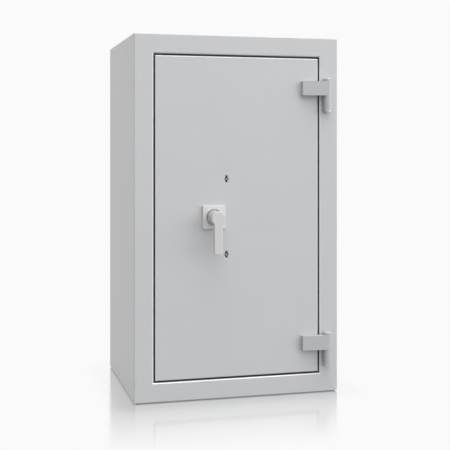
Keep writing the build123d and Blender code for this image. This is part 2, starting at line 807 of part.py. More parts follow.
def scroll_point(direction, turned, aside):
    """Point of a scroll slot after a part of the lever's turn, shifted across the slot."""
    radius = cam_inner_radius + bolt_throw * turned / lever_turn
    angle = radians(direction - turned)
    climb = bolt_throw / radians(lever_turn)
    lean = hypot(radius, climb)
    along = (
        climb * cos(angle) + radius * sin(angle),
        climb * sin(angle) - radius * cos(angle),
    )
    return (
        handle_x + radius * cos(angle) - aside * along[1] / lean,
        handle_z + radius * sin(angle) + aside * along[0] / lean,
    )


with BuildPart() as scroll_cam:
    round_bar(handle_x, handle_z, cam_radius, cam_depth, cam_back)
    round_bar(handle_x, handle_z, cam_hub_radius, cam_back, hub_back)
    round_bar(handle_x, handle_z, spindle_radius, cam_depth, hub_back, Mode.SUBTRACT)
    for direction in pin_directions.values():
        turns = [lever_turn * step / scroll_steps for step in range(scroll_steps + 1)]
        one_side = [scroll_point(direction, turned, slot_half_width) for turned in turns]
        other_side = [scroll_point(direction, turned, -slot_half_width) for turned in turns]
        with BuildSketch(at_depth(cam_depth)):
            with BuildLine():
                Spline(*one_side)
                Line(one_side[-1], other_side[-1])
                Spline(*reversed(other_side))
                Line(other_side[0], one_side[0])
            make_face()
            ends = [scroll_point(direction, turned, 0) for turned in (0, lever_turn)]
            with Locations(*ends):
                Circle(slot_half_width)
        extrude(amount=-cam_thickness, mode=Mode.SUBTRACT)
scroll_cam.part.label = "scroll_cam"
export_step(scroll_cam.part, "parts/scroll_cam.step")

with BuildPart() as spindle:
    round_bar(handle_x, handle_z, spindle_radius, spindle_front, spindle_back)
spindle.part.label = "spindle"
export_step(spindle.part, "parts/spindle.step")

with BuildPart() as retaining_ring:
    ring_back = hub_back + ring_thickness
    round_bar(handle_x, handle_z, spindle_radius + ring_width, hub_back, ring_back)
    round_bar(handle_x, handle_z, spindle_radius, hub_back, ring_back, Mode.SUBTRACT)
retaining_ring.part.label = "retaining_ring"
export_step(retaining_ring.part, "parts/retaining_ring.step")

# Side bolts: three, screwed to an upright bar whose arm ends in a cam pin
bar_back = bar_depth + bar_thickness
screw_floor = bar_depth - bar_screw_depth
cam_pin_front = cam_depth + cam_pin_end_gap
bolt_y = front_y + bolt_depth
with BuildPart() as side_bolts:
    with BuildSketch(Plane.YZ.offset(bolt_tip_x)):
        with Locations(*side_bolt_places):
            Circle(bolt_radius)
    extrude(amount=bolt_length)
    chamfer(side_bolts.faces().group_by(Axis.X)[0].edges(), bolt_chamfer)
    for height in side_bolt_heights:
        flat = (bar_left, bolt_end_x, height - bolt_radius, height + bolt_radius)
        slab(flat, bar_depth, bar_back, Mode.SUBTRACT)
        x = bolt_end_x - bar_on_bolt / 2
        round_bar(x, height, bar_screw_shank, screw_floor, bar_depth, Mode.SUBTRACT)
side_bolts.part.label = "side_bolts"
export_step(side_bolts.part, "parts/side_bolts.step")

with BuildPart() as bolt_bar:
    bar_bottom = side_bolt_heights[0] - bar_overhang
    bar_top = side_bolt_heights[-1] + bar_overhang
    slab((bar_left, bar_left + bar_width, bar_bottom, bar_top), bar_depth, bar_back)
    side_pin_x = handle_x - cam_inner_radius
    half_arm = arm_width / 2
    slab((bar_left, side_pin_x, handle_z - half_arm, handle_z + half_arm), bar_depth, bar_back)
    round_bar(side_pin_x, handle_z, half_arm, bar_depth, bar_back)
    round_bar(side_pin_x, handle_z, cam_pin_radius, cam_pin_front, bar_depth)
    for height in side_bolt_heights:
        x = bolt_end_x - bar_on_bolt / 2
        round_bar(x, height, bar_screw_shank, bar_depth, bar_back, Mode.SUBTRACT)
bolt_bar.part.label = "bolt_bar"
export_step(bolt_bar.part, "parts/bolt_bar.step")


def arm_screws(places):
    """Screws that hold a bar or an arm on its bolts."""
    for x, z in places:
        round_bar(x, z, bar_screw_radius, bar_back, bar_back + bar_screw_head)
        round_bar(x, z, bar_screw_shank, screw_floor, bar_back)


with BuildPart() as bar_screws:
    arm_screws([(bolt_end_x - bar_on_bolt / 2, height) for height in side_bolt_heights])
bar_screws.part.label = "bar_screws"
export_step(bar_screws.part, "parts/bar_screws.step")

# Top and bottom bolts: long rods with notches for the lock bolts, and an arm each
notch_left = key_x - lock_left - lock_bolt_proud - lock_bolt_throw - notch_clearance
for rod_name, upward, rod_tip in (
    ("top", 1, tongue_edges[3] - bolt_inset),
    ("bottom", -1, tongue_edges[2] + bolt_inset),
):
    rod_root = handle_z + upward * rod_from_handle
    arm_end = rod_root + upward * arm_on_rod
    rod_pin_z = handle_z + upward * cam_inner_radius
    lock_bolt_z = handle_z + upward * (key_from_handle_z + lock_bolt_offset)
    notch_heights = [lock_bolt_z, lock_bolt_z - upward * bolt_throw]
    screw_heights = [
        rod_root + upward * arm_screw_inset,
        arm_end - upward * arm_screw_inset,
    ]
    with BuildPart() as rod_bolt:
        with BuildSketch(Plane.XY.offset(rod_root)):
            with Locations((handle_x, bolt_y)):
                Circle(bolt_radius)
        extrude(amount=rod_tip - rod_root)
        tip_faces = rod_bolt.faces().sort_by(Axis.Z)
        tip_face = tip_faces[-1] if upward > 0 else tip_faces[0]
        chamfer(tip_face.edges(), bolt_chamfer)
        low, high = sorted((rod_root, arm_end))
        flat = (handle_x - bolt_radius, handle_x + bolt_radius, low, high)
        slab(flat, bar_depth, bar_back, Mode.SUBTRACT)
        for height in notch_heights:
            half = lock_bolt_height / 2 + notch_clearance
            right = handle_x + bolt_radius
            notch = (notch_left, right, height - half, height + half)
            slab(notch, bolt_depth - bolt_radius, bolt_depth + bolt_radius, Mode.SUBTRACT)
        for height in screw_heights:
            round_bar(
                handle_x, height, bar_screw_shank, screw_floor, bar_depth, Mode.SUBTRACT
            )
    rod_bolt.part.label = f"{rod_name}_bolt"
    export_step(rod_bolt.part, f"parts/{rod_name}_bolt.step")

    with BuildPart() as rod_arm:
        low, high = sorted((rod_pin_z, arm_end))
        slab((handle_x - half_arm, handle_x + half_arm, low, high), bar_depth, bar_back)
        round_bar(handle_x, rod_pin_z, half_arm, bar_depth, bar_back)
        round_bar(handle_x, rod_pin_z, cam_pin_radius, cam_pin_front, bar_depth)
        for height in screw_heights:
            round_bar(
                handle_x, height, bar_screw_shank, bar_depth, bar_back, Mode.SUBTRACT
            )
    rod_arm.part.label = f"{rod_name}_arm"
    export_step(rod_arm.part, f"parts/{rod_name}_arm.step")

    with BuildPart() as rod_screws:
        arm_screws([(handle_x, height) for height in screw_heights])
    rod_screws.part.label = f"{rod_name}_arm_screws"
    export_step(rod_screws.part, f"parts/{rod_name}_arm_screws.step")

# Bolt guides: bored blocks on the boltwork plate, by each side bolt and round each rod
guide_back = plate_back + guide_depth
rod_guide_half = bolt_radius + rod_guide_wall
with BuildPart() as bolt_guides:
    guide_left = pan_edges[0]
    for height in side_bolt_heights:
        half = guide_width / 2
        block = (guide_left, guide_left + guide_thickness, height - half, height + half)
        slab(block, plate_back, guide_back)
    with BuildSketch(Plane.YZ.offset(guide_left)):
        with Locations(*side_bolt_places):
            Circle(bolt_radius + rod_clearance)
    extrude(amount=guide_thickness, mode=Mode.SUBTRACT)
    for upward in (-1, 1):
        middle = handle_z + upward * rod_guide_offset
        half = guide_thickness / 2
        sides = (handle_x - rod_guide_half, handle_x + rod_guide_half)
        slab((*sides, middle - half, middle + half), plate_back, guide_back)
        with BuildSketch(Plane.XY.offset(middle - half)):
            with Locations((handle_x, bolt_y)):
                Circle(bolt_radius + rod_clearance)
        extrude(amount=guide_thickness, mode=Mode.SUBTRACT)
bolt_guides.part.label = "bolt_guides"
export_step(bolt_guides.part, "parts/bolt_guides.step")

# Key guides: solid plugs through the filling, pierced with the keyhole
with BuildPart() as key_guides:
    for height in key_heights:
        round_bar(key_x, height, key_guide_radius, door_sheet, plate_back)
        keyhole(key_x, height, door_sheet, plate_back)
key_guides.part.label = "key_guides"
export_step(key_guides.part, "parts/key_guides.step")

# Key locks: case, cover, screws, centre pins, tumblers, key barrel and lock bolt
case_back = plate_back + lock_case_depth
cover_seat = case_back - lock_cover_sheet
case_floor = plate_back + lock_wall
lock_bolt_depth = plate_back + lock_bolt_depth_in_case
lock_bolt_depths = (
    lock_bolt_depth - lock_bolt_thickness / 2,
    lock_bolt_depth + lock_bolt_thickness / 2,
)
lock_names = {"lower": -1, "upper": 1}


def lock_box(upward):
    """Outside of a lock case as left, right, bottom and top."""
    middle = handle_z + upward * key_from_handle_z
    low, high = middle - lock_half_height, middle + lock_half_height
    return (key_x - lock_left, key_x + lock_right, low, high)


def lock_corners(upward):
    """Places of the four screws of a lock cover."""
    left, right, bottom, top = grown(lock_box(upward), -lock_boss_inset)
    return [(left, bottom), (left, top), (right, bottom), (right, top)]


def lock_bolt_box(upward, slack):
    """Height range and length range of a lock bolt, with some slack all round."""
    middle = handle_z + upward * (key_from_handle_z + lock_bolt_offset)
    half = lock_bolt_height / 2 + slack
    left = lock_box(upward)[0] - lock_bolt_proud
    return (left, left + lock_bolt_length, middle - half, middle + half)


for lock_name, upward in lock_names.items():
    box = lock_box(upward)
    key_z = handle_z + upward * key_from_handle_z
    with BuildPart() as lock_case:
        slab(box, plate_back, cover_seat)
        slab(grown(box, -lock_wall), case_floor, cover_seat, Mode.SUBTRACT)
        for x, z in lock_corners(upward):
            round_bar(x, z, lock_boss_radius, case_floor, cover_seat)
            screw_end = case_back - lock_screw_depth
            round_bar(x, z, lock_screw_shank, screw_end, cover_seat, Mode.SUBTRACT)
        bolt_window = lock_bolt_box(upward, lock_bolt_clearance)
        rib_left = box[1] - lock_rib_from_right - lock_wall
        rib_low = bolt_window[2] - lock_wall
        rib_high = bolt_window[3] + lock_wall
        slab((rib_left, rib_left + lock_wall, rib_low, rib_high), case_floor, cover_seat)
        near = lock_bolt_depths[0] - lock_bolt_clearance
        far = lock_bolt_depths[1] + lock_bolt_clearance
        for left in (box[0], rib_left):
            window = (left, left + lock_wall, bolt_window[2], bolt_window[3])
            slab(window, near, far, Mode.SUBTRACT)
        pivot_z = key_z - upward * tumbler_pivot_offset
        round_bar(key_x, pivot_z, tumbler_pivot_radius, case_floor, cover_seat)
        bore = key_barrel_radius + key_barrel_clearance
        round_bar(key_x, key_z, bore, plate_back, case_floor, Mode.SUBTRACT)
    lock_case.part.label = f"lock_case_{lock_name}"
    export_step(lock_case.part, f"parts/lock_case_{lock_name}.step")

    with BuildPart() as key_barrel:
        barrel_front = plate_back + key_barrel_end_gap
        barrel_back = cover_seat - key_barrel_end_gap
        round_bar(key_x, key_z, key_barrel_radius, barrel_front, barrel_back)
        keyhole(key_x, key_z, barrel_front, barrel_back - key_barrel_end_wall)
        pin_bore = key_pin_radius + key_pin_clearance
        round_bar(key_x, key_z, pin_bore, barrel_front, barrel_back, Mode.SUBTRACT)
    key_barrel.part.label = f"key_barrel_{lock_name}"
    export_step(key_barrel.part, f"parts/key_barrel_{lock_name}.step")

    with BuildPart() as lock_bolt:
        outline = lock_bolt_box(upward, 0)
        slab(outline, *lock_bolt_depths)
        talon_edge = outline[2] if upward > 0 else outline[3]
        low, high = sorted((talon_edge, talon_edge + upward * talon_depth))
        talon = (key_x - talon_width / 2, key_x + talon_width / 2, low, high)
        slab(talon, *lock_bolt_depths, Mode.SUBTRACT)
    lock_bolt.part.label = f"lock_bolt_{lock_name}"
    export_step(lock_bolt.part, f"parts/lock_bolt_{lock_name}.step")

with BuildPart() as lock_covers:
    for upward in lock_names.values():
        slab(lock_box(upward), cover_seat, case_back)
        for x, z in lock_corners(upward):
            round_bar(x, z, lock_screw_shank, cover_seat, case_back, Mode.SUBTRACT)
lock_covers.part.label = "lock_covers"
export_step(lock_covers.part, "parts/lock_covers.step")

with BuildPart() as lock_screws:
    for upward in lock_names.values():
        for x, z in lock_corners(upward):
            round_bar(x, z, lock_screw_radius, case_back, case_back + lock_screw_head)
            round_bar(x, z, lock_screw_shank, case_back - lock_screw_depth, case_back)
lock_screws.part.label = "lock_screws"
export_step(lock_screws.part, "parts/lock_screws.step")

with BuildPart() as key_pins:
    for height in key_heights:
        round_bar(key_x, height, key_pin_radius, key_pin_setback, cover_seat)
key_pins.part.label = "key_pins"
export_step(key_pins.part, "parts/key_pins.step")

tumbler_start = case_floor + tumbler_margin
with BuildPart() as tumblers:
    for upward in lock_names.values():
        box = grown(lock_box(upward), -lock_wall - tumbler_margin)
        key_z = handle_z + upward * key_from_handle_z
        below_rib = lock_bolt_clearance + lock_wall + tumbler_margin
        bolt_side = lock_bolt_box(upward, below_rib)[2 if upward > 0 else 3]
        low, high = sorted((key_z - upward * tumbler_bottom_offset, bolt_side))
        window = key_barrel_radius + tumbler_clearance
        throat = sorted((key_z, bolt_side))
        for step in range(tumbler_count):
            near = tumbler_start + step * tumbler_pitch
            far = near + tumbler_thickness
            slab((box[0], box[1], low, high), near, far)
            round_bar(key_x, key_z, window, near, far, Mode.SUBTRACT)
            slab((key_x - window, key_x + window, *throat), near, far, Mode.SUBTRACT)
            pivot_z = key_z - upward * tumbler_pivot_offset
            round_bar(key_x, pivot_z, tumbler_pivot_radius, near, far, Mode.SUBTRACT)
tumblers.part.label = "tumblers"
export_step(tumblers.part, "parts/tumblers.step")
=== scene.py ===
"""Dresses the fire resistant safe: paint, metals, small modelled pieces and the studio."""
import json
import math

import bmesh
import bpy
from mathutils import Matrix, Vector

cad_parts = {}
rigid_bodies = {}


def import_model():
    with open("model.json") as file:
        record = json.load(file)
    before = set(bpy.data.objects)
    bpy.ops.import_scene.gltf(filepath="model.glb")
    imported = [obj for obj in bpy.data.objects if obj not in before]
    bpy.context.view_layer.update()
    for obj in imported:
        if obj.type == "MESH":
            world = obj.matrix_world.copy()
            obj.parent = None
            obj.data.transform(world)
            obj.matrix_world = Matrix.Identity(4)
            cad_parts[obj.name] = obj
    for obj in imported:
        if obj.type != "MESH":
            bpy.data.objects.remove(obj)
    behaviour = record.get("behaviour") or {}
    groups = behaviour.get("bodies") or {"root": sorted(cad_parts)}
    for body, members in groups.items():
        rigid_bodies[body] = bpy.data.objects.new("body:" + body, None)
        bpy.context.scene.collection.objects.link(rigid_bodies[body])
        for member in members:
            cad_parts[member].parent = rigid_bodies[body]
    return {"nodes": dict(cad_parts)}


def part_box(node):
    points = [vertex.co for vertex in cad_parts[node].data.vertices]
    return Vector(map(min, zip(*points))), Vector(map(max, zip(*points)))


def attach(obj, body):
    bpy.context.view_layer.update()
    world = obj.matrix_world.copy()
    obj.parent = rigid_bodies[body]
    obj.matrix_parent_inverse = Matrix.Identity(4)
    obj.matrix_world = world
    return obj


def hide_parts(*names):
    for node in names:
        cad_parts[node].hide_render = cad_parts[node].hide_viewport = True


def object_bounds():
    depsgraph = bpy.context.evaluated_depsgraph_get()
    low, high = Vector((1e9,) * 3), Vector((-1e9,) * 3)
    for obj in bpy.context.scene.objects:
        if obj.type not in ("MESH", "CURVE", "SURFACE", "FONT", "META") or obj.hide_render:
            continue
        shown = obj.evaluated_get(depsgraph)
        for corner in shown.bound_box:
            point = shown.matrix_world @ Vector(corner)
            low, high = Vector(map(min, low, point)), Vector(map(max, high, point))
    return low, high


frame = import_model()
cad_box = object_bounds()

bl_info = {
    "name": "Fire resistant safe",
    "version": (1, 0, 0),
    "blender": (4, 5, 0),
    "location": "View3D > Sidebar > Safe",
    "description": "Finishes the safe's metal, adds its small pieces and sets the studio",
    "category": "Object",
}

IMAGE_PIXELS = 450
SENSOR_MM = 36.0

# Roughness of a powder coat, from smooth on the bevels that carry the painted highlight to dry
HIGHLIGHT_COAT = 0.26
SMOOTH_COAT = 0.36
SATIN_COAT = 0.42
INSIDE_COAT = 0.48
DRY_COAT = 0.6

# Colours of the metals that several parts share, as sRGB hex values
GROUND_STEEL = "C6C7C8"
BRIGHT_STEEL = "CDCECF"
BLACKENED_STEEL = "5C5D60"
BRASS = "C9A45C"


# Settings that a user would change


class SafePaint(bpy.types.PropertyGroup):
    """Colours and grain of the safe's surfaces, as sRGB hex values and metres."""

    cabinet: bpy.props.StringProperty(
        name="Cabinet", description="Powder coat of the cabinet and the door", default="C4C5C7"
    )
    # painted highlight: a pale colour on the bevels beside the gap that stands in for light
    # catching them
    painted_highlight: bpy.props.StringProperty(
        name="Worn bevels", description="Powder coat rubbed pale along the gap", default="F2F3F4"
    )
    # painted shade: a dark colour on the walls of the gap that stands in for the shade inside it
    gap_shade: bpy.props.StringProperty(
        name="Gap walls", description="Thin powder coat on the walls of the gap", default="8C8D8F"
    )
    inside: bpy.props.StringProperty(
        name="Inside", description="Powder coat of the liner, jamb and shelves", default="BDBEC0"
    )
    hinges: bpy.props.StringProperty(
        name="Hinges", description="Powder coat of the hinges", default="B8B9BB"
    )
    lever: bpy.props.StringProperty(
        name="Lever", description="Silver grey lacquer of the lever", default="C8C8C8"
    )
    rosette: bpy.props.StringProperty(
        name="Rosette", description="Silver grey lacquer of the square plate", default="D4D4D4"
    )
    grain: bpy.props.FloatProperty(
        name="Paint grain",
        description="Width of one bump of the powder coat",
        default=0.004,
        unit="LENGTH",
    )


class SafePieces(bpy.types.PropertyGroup):
    """Sizes of the pieces that are modelled here."""

    screw_socket: bpy.props.FloatProperty(
        name="Screw socket",
        description="Hex socket of a cover screw, across its corners",
        default=0.0046,
        unit="LENGTH",
    )
    socket_depth: bpy.props.FloatProperty(
        name="Socket depth",
        description="Depth of a cover screw's hex socket",
        default=0.0016,
        unit="LENGTH",
    )
    seal_rib: bpy.props.FloatProperty(
        name="Seal rib",
        description="Height of a rib on the fire seal",
        default=0.0012,
        unit="LENGTH",
    )
    bead_radius: bpy.props.FloatProperty(
        name="Weld bead",
        description="Radius of the weld bead beside a hinge foot",
        default=0.0022,
        unit="LENGTH",
    )
    foot_width: bpy.props.FloatProperty(
        name="Hinge foot",
        description="Width of the foot that a hinge knuckle is welded on by",
        default=0.018,
        unit="LENGTH",
    )


class SafeStudio(bpy.types.PropertyGroup):
    """Camera, lamps, background and floor."""

    camera_place: bpy.props.FloatVectorProperty(
        name="Camera place",
        description="Where the camera stands",
        default=(-0.85553, -3.35564, 0.83342),
        unit="LENGTH",
    )
    camera_turn: bpy.props.FloatProperty(
        name="Camera turn",
        description="Turn of the level camera to its right",
        default=0.257,
        unit="ROTATION",
    )
    focal_pixels: bpy.props.FloatProperty(
        name="Focal length", description="Focal length in image pixels", default=963.13
    )
    horizon_row: bpy.props.FloatProperty(
        name="Horizon row", description="Row of the image at the camera's height", default=146.28
    )
    key_strength: bpy.props.FloatProperty(
        name="Key lamp", description="Strength of the high lamp in front on the right", default=1.65
    )
    rim_strength: bpy.props.FloatProperty(
        name="Rim lamp", description="Strength of the low lamp on the right", default=1.1
    )
    side_strength: bpy.props.FloatProperty(
        name="Side lamp", description="Strength of the low lamp on the left", default=1.1
    )
    ceiling_strength: bpy.props.FloatProperty(
        name="Ceiling lamp", description="Strength of the lamp straight above", default=1.3
    )
    softbox_power: bpy.props.FloatProperty(
        name="Softbox", description="Power of the softbox close above the front", default=7.5
    )
    room_light: bpy.props.FloatProperty(
        name="Room light", description="Strength of the even light all round", default=0.37
    )
    floor_light: bpy.props.FloatProperty(
        name="Floor light", description="Strength of the light the floor sends up", default=0.42
    )
    background: bpy.props.StringProperty(
        name="Background", description="Colour of the floor and the backdrop", default="FAFAFA"
    )
    mirror_share: bpy.props.FloatProperty(
        name="Mirror share", description="Strength of the floor's mirror image", default=0.8
    )
    mirror_reach: bpy.props.FloatProperty(
        name="Mirror reach",
        description="Distance from the safe at which the mirror image has faded away",
        default=0.6,
        unit="LENGTH",
    )
    shade_reach: bpy.props.FloatProperty(
        name="Shade reach",
        description="Distance from the safe at which its shade on the floor ends",
        default=0.12,
        unit="LENGTH",
    )


# Nodes and materials


def hex_colour(text, gain=1.0):
    """Linear colour of an sRGB hex value, made a little lighter or darker by a gain."""
    parts = [int(text[place : place + 2], 16) / 255 for place in (0, 2, 4)]
    linear = [
        part / 12.92 if part <= 0.04045 else ((part + 0.055) / 1.055) ** 2.4 for part in parts
    ]
    return (*[min(1.0, part * gain) for part in linear], 1.0)


def add_node(tree, kind, inputs=None, **settings):
    """Adds a node; inputs holds a value or another node's output for each named socket."""
    node = tree.nodes.new(kind)
    for name, value in settings.items():
        setattr(node, name, value)
    for name, value in (inputs or {}).items():
        if isinstance(value, bpy.types.NodeSocket):
            tree.links.new(value, node.inputs[name])
        else:
            node.inputs[name].default_value = value
    return node


def start_material(name):
    """A node material with the object's own coordinates to draw on."""
    material = bpy.data.materials.new(name)
    material.use_nodes = True
    tree = material.node_tree
    tree.nodes.clear()
    place = add_node(tree, "ShaderNodeTexCoord").outputs["Object"]
    return material, tree, place


def end_material(material, shader):
    """Links the finished shader to the material's output."""
    add_node(material.node_tree, "ShaderNodeOutputMaterial", {"Surface": shader})
    return material


def grained_shader(tree, cloud, shades, grain, bump, roughness, **finish):
    """Shader whose colour drifts between two shades, under a grain that catches the light.

    The bump is a pair, its strength and its height in metres. The roughness is one number, or a
    pair that the grain runs between.
    """
    tint = add_node(
        tree, "ShaderNodeMixRGB", {"Fac": cloud, "Color1": shades[0], "Color2": shades[1]}
    )
    strength, height = bump
    relief = add_node(
        tree, "ShaderNodeBump", {"Height": grain, "Strength": strength, "Distance": height}
    )
    if isinstance(roughness, tuple):
        low, high = roughness
        sheen = add_node(
            tree, "ShaderNodeMapRange", {"Value": grain, "To Min": low, "To Max": high}
        )
        roughness = sheen.outputs["Result"]
    surface = {
        "Base Color": tint.outputs["Color"],
        "Roughness": roughness,
        "Normal": relief.outputs["Normal"],
    }
    return add_node(tree, "ShaderNodeBsdfPrincipled", {**surface, **finish}).outputs["BSDF"]


def powder_shader(tree, place, colour, grain, roughness):
    """Surface of a powder coat.

    The eye gets a soft sheen, a fine orange peel and a faint cloudiness over a hand's width.
    The real peel is about 1 mm wide and is drawn a few times as coarse, so that it shows.
    """
    hand_width = 0.12
    peel = add_node(
        tree,
        "ShaderNodeTexNoise",
        {"Vector": place, "Scale": 1 / grain, "Detail": 3.0, "Roughness": 0.6},
    )
    cloud = add_node(
        tree, "ShaderNodeTexNoise", {"Vector": place, "Scale": 1 / hand_width, "Detail": 2.0}
    )
    return grained_shader(
        tree,
        cloud.outputs["Fac"],
        (hex_colour(colour, 0.975), hex_colour(colour, 1.015)),
        peel.outputs["Fac"],
        bump=(0.12, 0.0005),
        roughness=(roughness - 0.05, roughness + 0.07),
        IOR=1.5,
    )


def powder_coat(name, colour, grain, roughness):
    """Polyester powder baked on steel sheet, unworn."""
    material, tree, place = start_material(name)
    return end_material(material, powder_shader(tree, place, colour, grain, roughness))


def past_sides(tree, place, middle, half):
    """How far a point lies past the sides of a box, along each axis and below 0 inside it."""
    offset = add_node(tree, "ShaderNodeVectorMath", {0: place, 1: middle}, operation="SUBTRACT")
    side = add_node(
        tree, "ShaderNodeVectorMath", {0: offset.outputs["Vector"]}, operation="ABSOLUTE"
    )
    return add_node(
        tree, "ShaderNodeVectorMath", {0: side.outputs["Vector"], 1: half}, operation="SUBTRACT"
    ).outputs["Vector"]


def beside_gap(tree, place):
    """1 in a band that runs along the door's outline, and 0 elsewhere."""
    # the door's bevel ends 3 mm inside its outline and the opening's 10 mm outside it, and the
    # band reaches a little further both ways
    inner, outer = -0.005, 0.013
    low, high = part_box("door_front")
    past = past_sides(tree, place, (low + high) / 2, (high - low) / 2)
    split = add_node(tree, "ShaderNodeSeparateXYZ", {"Vector": past})
    away = add_node(
        tree, "ShaderNodeMath", {0: split.outputs["X"], 1: split.outputs["Z"]}, operation="MAXIMUM"
    )
    return add_node(
        tree,
        "ShaderNodeMath",
        {0: away.outputs["Value"], 1: (inner + outer) / 2, 2: (outer - inner) / 2},
        operation="COMPARE",
    ).outputs["Value"]


def gap_masks(tree, place):
    """Masks for a painted highlight on the bevels beside the gap and for painted shade on the gap's
    walls.

    A normal's Y, whatever its sign, is 1 on a front, 0.7 on a bevel and 0 on a wall. A bevel whose
    Z is below -0.4 faces down, away from the light above, and gets no painted highlight.
    """
    bevel_ahead, bevel_spread, wall_ahead, lowest_up = 0.7, 0.2, 0.4, -0.4
    beside = beside_gap(tree, place)
    normal = add_node(tree, "ShaderNodeTexCoord").outputs["Normal"]
    facing = add_node(tree, "ShaderNodeSeparateXYZ", {"Vector": normal})
    ahead = add_node(
        tree, "ShaderNodeMath", {0: facing.outputs["Y"]}, operation="ABSOLUTE"
    ).outputs["Value"]
    bevel = add_node(
        tree, "ShaderNodeMath", {0: ahead, 1: bevel_ahead, 2: bevel_spread}, operation="COMPARE"
    )
    upper = add_node(
        tree, "ShaderNodeMath", {0: facing.outputs["Z"], 1: lowest_up}, operation="GREATER_THAN"
    )
    wall = add_node(tree, "ShaderNodeMath", {0: ahead, 1: wall_ahead}, operation="LESS_THAN")
    lit_bevel = add_node(
        tree,
        "ShaderNodeMath",
        {0: bevel.outputs["Value"], 1: upper.outputs["Value"]},
        operation="MULTIPLY",
    )
    highlighted, gap_shade = [
        add_node(
            tree, "ShaderNodeMath", {0: part.outputs["Value"], 1: beside}, operation="MULTIPLY"
        ).outputs["Value"]
        for part in (lit_bevel, wall)
    ]
    return highlighted, gap_shade


def door_coat(name, paint):
    """Powder coat of the cabinet and the door, with light and shade painted along the gap between
    them.

    The bevels that meet at the gap are painted paler, a painted highlight, and have a smoother coat
    that shines more; those that face down aren't. The gap's walls are painted dark and dull:
    painted shade.
    """
    material, tree, place = start_material(name)
    highlighted, gap_shade = gap_masks(tree, place)
    whole_coat = powder_shader(tree, place, paint.cabinet, paint.grain, SATIN_COAT)
    highlight_coat = powder_shader(tree, place, paint.painted_highlight, paint.grain, HIGHLIGHT_COAT)
    gap_shade_coat = powder_shader(tree, place, paint.gap_shade, paint.grain, DRY_COAT)
    # painted highlight on the bevels beside the gap, then painted shade on the gap's walls
    front = add_node(tree, "ShaderNodeMixShader", {0: highlighted, 1: whole_coat, 2: highlight_coat})
    all_over = add_node(
        tree, "ShaderNodeMixShader", {0: gap_shade, 1: front.outputs["Shader"], 2: gap_shade_coat}
    )
    return end_material(material, all_over.outputs["Shader"])


def lacquered_casting(name, colour, roughness):
    """Zinc casting under silver grey lacquer or satin nickel: a soft sheen with a fine matt grain.

    The grain is 0.2 mm wide and is drawn ten times as coarse, so that it shows. The colour drifts
    a little over 30 mm, as it does on a hand finished casting.
    """
    drawn_grain, drift_width = 0.002, 0.03
    material, tree, place = start_material(name)
    grit = add_node(
        tree, "ShaderNodeTexNoise", {"Vector": place, "Scale": 1 / drawn_grain, "Detail": 4.0}
    )
    drift = add_node(
        tree, "ShaderNodeTexNoise", {"Vector": place, "Scale": 1 / drift_width, "Detail": 1.0}
    )
    shader = grained_shader(
        tree,
        drift.outputs["Fac"],
        (hex_colour(colour, 0.96), hex_colour(colour, 1.02)),
        grit.outputs["Fac"],
        bump=(0.08, 0.0003),
        roughness=(roughness - 0.06, roughness + 0.08),
        Metallic=0.35,
    )
    return end_material(material, shader)


def zinc_plate(name):
    """Steel with a passivated zinc plating: grey with faint yellow and blue clouds.

    The clouds are 50 mm wide. The plating's grain is finer than 1 mm and is drawn 3 mm wide, so
    that it shows.
    """
    cloud_width, drawn_grain = 0.05, 0.003
    material, tree, place = start_material(name)
    cloud = add_node(
        tree,
        "ShaderNodeTexNoise",
        {"Vector": place, "Scale": 1 / cloud_width, "Detail": 4.0, "Distortion": 0.6},
    )
    grain = add_node(
        tree, "ShaderNodeTexNoise", {"Vector": place, "Scale": 1 / drawn_grain, "Detail": 2.0}
    )
    shader = grained_shader(
        tree,
        cloud.outputs["Fac"],
        (hex_colour("B9BCC2"), hex_colour("C6C1AE")),
        grain.outputs["Fac"],
        bump=(0.1, 0.0002),
        roughness=(0.3, 0.46),
        Metallic=1.0,
    )
    return end_material(material, shader)


def turned_metal(name, colour, along, roughness=0.28):
    """Round stock, ground on a lathe: fine rings across its axis that stretch the highlights.

    The rings are 0.1 mm apart and are drawn as bands a millimetre wide, so that they show.
    """
    ring_width, ring_length = 0.001, 0.02
    material, tree, place = start_material(name)
    stretch = [1 / ring_length] * 3
    stretch["XYZ".index(along)] = 1 / ring_width
    drawn = add_node(tree, "ShaderNodeMapping", {"Vector": place, "Scale": stretch})
    rings = add_node(
        tree,
        "ShaderNodeTexNoise",
        {"Vector": drawn.outputs["Vector"], "Scale": 1.0, "Detail": 3.0, "Roughness": 0.7},
    ).outputs["Fac"]
    shader = grained_shader(
        tree,
        rings,
        (hex_colour(colour, 0.85), hex_colour(colour, 1.08)),
        rings,
        bump=(0.15, 0.0001),
        roughness=(roughness - 0.08, roughness + 0.12),
        Metallic=1.0,
    )
    return end_material(material, shader)


def rough_mineral(name, colour, grain, pore):
    """Cast light mineral filling, or the fibre of a fire seal: matt, dry and slightly pitted.

    Grains and pores are drawn a few times as wide as the real ones, so that they show.
    """
    material, tree, place = start_material(name)
    speck = add_node(
        tree, "ShaderNodeTexNoise", {"Vector": place, "Scale": 1 / grain, "Detail": 5.0}
    ).outputs["Fac"]
    pits = add_node(tree, "ShaderNodeTexVoronoi", {"Vector": place, "Scale": 1 / pore})
    height = add_node(
        tree, "ShaderNodeMath", {0: speck, 1: pits.outputs["Distance"]}, operation="ADD"
    )
    shader = grained_shader(
        tree,
        speck,
        (hex_colour(colour, 0.8), hex_colour(colour, 1.15)),
        height.outputs["Value"],
        bump=(0.35, 0.0008),
        roughness=0.9,
    )
    return end_material(material, shader)


def seen(tree):
    """1 for a ray from the camera, a mirror or glass, and 0 for the light on the safe."""
    path = add_node(tree, "ShaderNodeLightPath")
    shine = add_node(
        tree,
        "ShaderNodeMath",
        {0: path.outputs["Is Camera Ray"], 1: path.outputs["Is Glossy Ray"]},
        operation="MAXIMUM",
    )
    return add_node(
        tree,
        "ShaderNodeMath",
        {0: shine.outputs["Value"], 1: path.outputs["Is Transmission Ray"]},
        operation="MAXIMUM",
    ).outputs["Value"]


